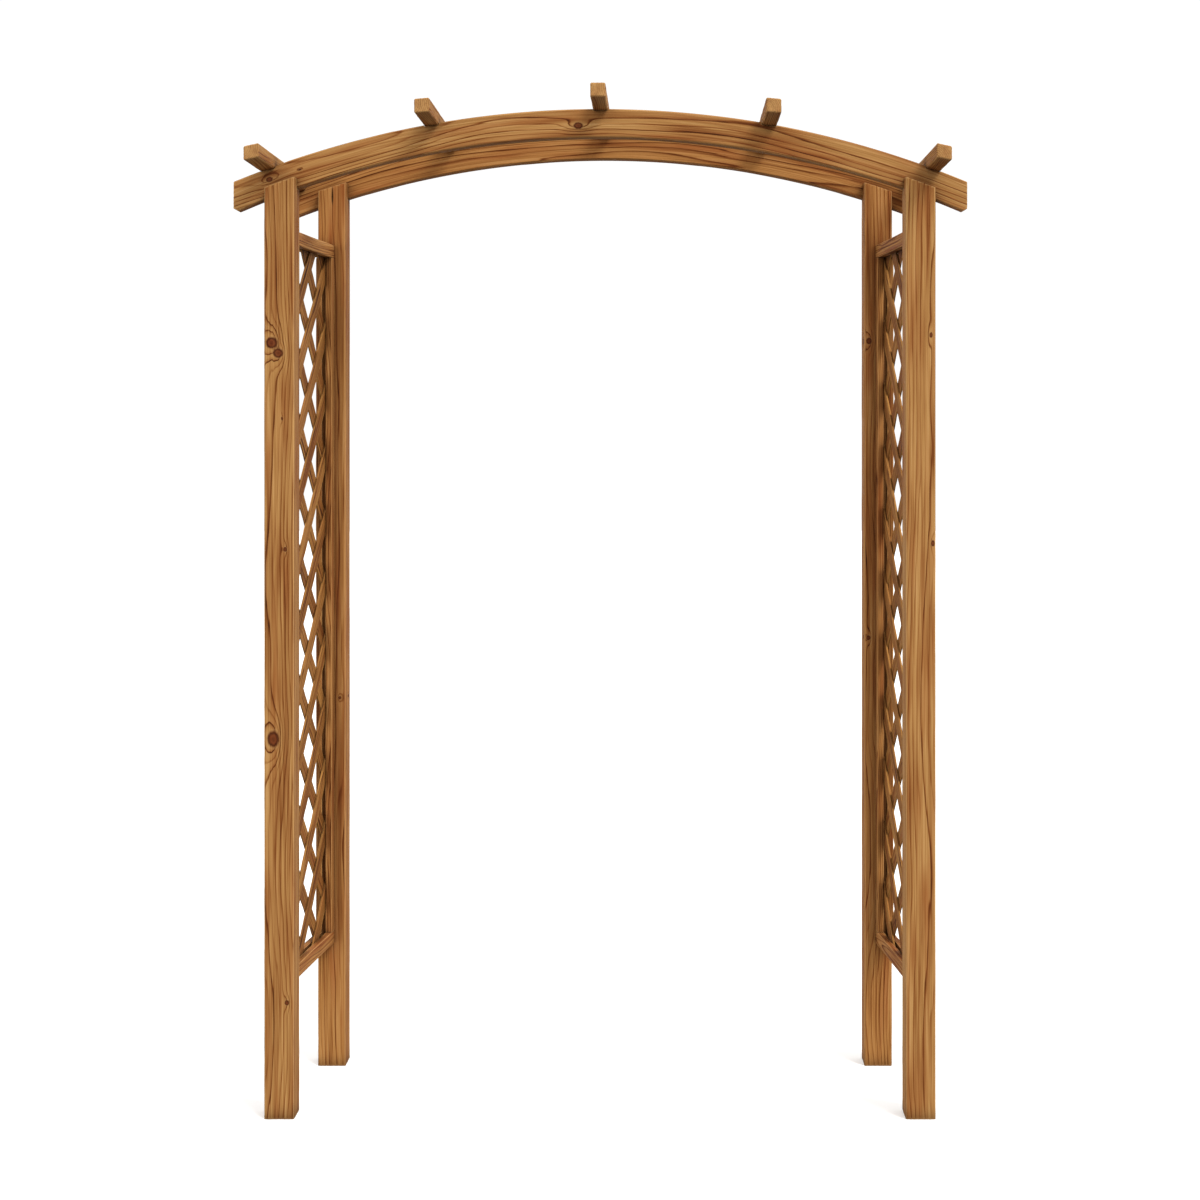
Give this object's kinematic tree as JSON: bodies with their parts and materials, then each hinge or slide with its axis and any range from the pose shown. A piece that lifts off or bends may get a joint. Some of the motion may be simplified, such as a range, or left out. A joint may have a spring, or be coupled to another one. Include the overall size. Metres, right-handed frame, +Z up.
{
  "type": "garden arch",
  "caption": "Free-standing timber garden arch with curved beams on square posts, battens across the top and diagonal lattice panels at the sides for climbing plants",
  "frame": {"origin": "on the ground, in the middle of the plan, under the middle of the rafters", "axes": "+Z up, X across the path from left to right as seen from the front, +Y along the path from front to rear"},
  "size_m": [1.59, 0.754, 2.205],
  "materials": {
    "frame_timber": "planed and oiled",
    "slat_timber": "planed and oiled",
    "zinc_steel": "zinc plated"
  },
  "bodies": {
    "root": {"front_left_post": "frame_timber", "front_right_post": "frame_timber", "rear_left_post": "frame_timber", "rear_right_post": "frame_timber", "front_arch_beam": "frame_timber", "rear_arch_beam": "frame_timber", "centre_rafter": "frame_timber", "left_rafter": "frame_timber", "right_rafter": "frame_timber", "far_left_rafter": "frame_timber", "far_right_rafter": "frame_timber", "left_top_rail": "frame_timber", "right_top_rail": "frame_timber", "left_bottom_rail": "frame_timber", "right_bottom_rail": "frame_timber", "left_front_stile": "frame_timber", "right_front_stile": "frame_timber", "left_rear_stile": "frame_timber", "right_rear_stile": "frame_timber", "left_inner_slats": "slat_timber", "right_inner_slats": "slat_timber", "left_outer_slats": "slat_timber", "right_outer_slats": "slat_timber", "rafter_screws": "zinc_steel", "arch_screws": "zinc_steel"}
  },
  "joints": []
}
